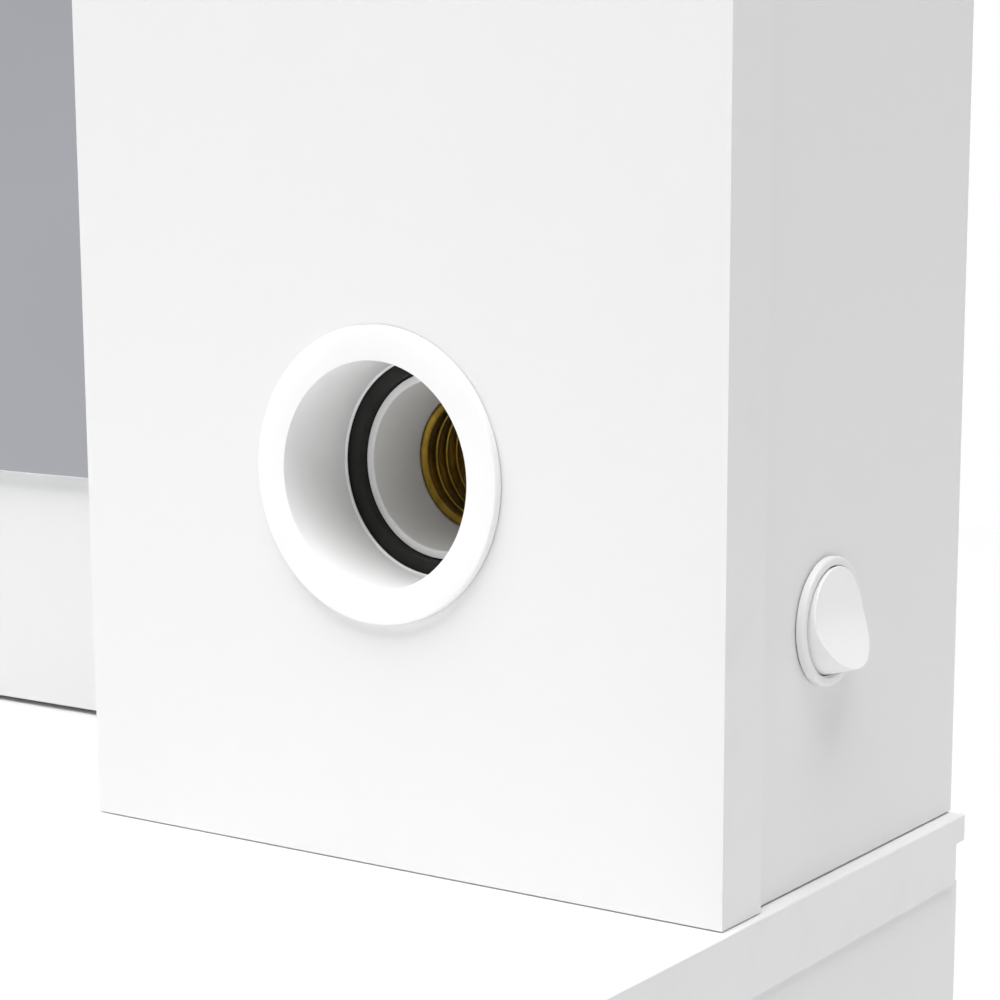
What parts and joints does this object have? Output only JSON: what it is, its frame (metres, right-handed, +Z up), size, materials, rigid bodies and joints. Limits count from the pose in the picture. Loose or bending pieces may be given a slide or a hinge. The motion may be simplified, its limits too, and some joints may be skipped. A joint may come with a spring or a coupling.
{
  "type": "vanity table with lighted mirror",
  "caption": "White panel-ended dressing table with a wide drawer and a mirror between two hollow columns with recessed lamp sockets and a side rocker switch.",
  "frame": {"origin": "on the floor, under the middle of the whole object's bounding box", "axes": "+X to the sitter's right, +Y from the drawer front to the wall, +Z up"},
  "size_m": [0.8045, 0.4172, 1.365],
  "materials": {
    "white_board": "smooth white melamine-faced board with white edge band",
    "hardboard": "white-lacquered hardboard",
    "mirror_glass": "silvered float glass",
    "white_plastic": "moulded, semi-gloss",
    "black_plastic": "moulded, matt",
    "grey_plastic": "moulded, matt",
    "brass": "rolled sheet, lightly tarnished",
    "knob_metal": "satin nickel",
    "cable": "white sheath"
  },
  "bodies": {
    "table": {"table_top": "white_board", "end_panel_left": "white_board", "foot_glide_front_left": "grey_plastic", "foot_glide_rear_left": "grey_plastic", "end_panel_right": "white_board", "foot_glide_front_right": "grey_plastic", "foot_glide_rear_right": "grey_plastic", "drawer_compartment_floor": "white_board", "stretcher_panel": "white_board", "table_back": "hardboard", "drawer_guide_left": "grey_plastic", "drawer_guide_right": "grey_plastic", "column_front_left": "white_board", "column_outer_side_left": "white_board", "column_inner_side_left": "white_board", "column_front_right": "white_board", "column_outer_side_right": "white_board", "column_inner_side_right": "white_board", "mirror_unit_back": "hardboard", "crown_board": "white_board", "mirror_board": "white_board", "mirror_glass": "mirror_glass", "trim_ring_left_1": "white_plastic", "clamp_ring_left_1": "black_plastic", "lampholder_left_1": "white_plastic", "screw_shell_left_1": "brass", "trim_ring_left_2": "white_plastic", "clamp_ring_left_2": "black_plastic", "lampholder_left_2": "white_plastic", "screw_shell_left_2": "brass", "trim_ring_left_3": "white_plastic", "clamp_ring_left_3": "black_plastic", "lampholder_left_3": "white_plastic", "screw_shell_left_3": "brass", "trim_ring_right_1": "white_plastic", "clamp_ring_right_1": "black_plastic", "lampholder_right_1": "white_plastic", "screw_shell_right_1": "brass", "trim_ring_right_2": "white_plastic", "clamp_ring_right_2": "black_plastic", "lampholder_right_2": "white_plastic", "screw_shell_right_2": "brass", "trim_ring_right_3": "white_plastic", "clamp_ring_right_3": "black_plastic", "lampholder_right_3": "white_plastic", "screw_shell_right_3": "brass", "switch_housing": "white_plastic", "cable_gland": "black_plastic", "terminal_block": "white_plastic", "wiring_harness": "cable"},
    "drawer": {"drawer_front": "white_board", "drawer_bottom": "hardboard", "drawer_back": "white_board", "drawer_side_left": "white_board", "drawer_side_right": "white_board", "drawer_knob_left": "knob_metal", "drawer_knob_right": "knob_metal"},
    "rocker": {"switch_rocker": "white_plastic"}
  },
  "joints": [
    {"name": "drawer_slide", "type": "slide", "parent": "table", "child": "drawer", "axis": [0, -1, 0], "range_m": [0, 0.26]},
    {"name": "rocker_hinge", "type": "hinge", "parent": "table", "child": "rocker", "pos_m": [0.3975, 0.147, 0.803], "axis": [0, 1, 0], "range_deg": [0, 29.4]}
  ]
}
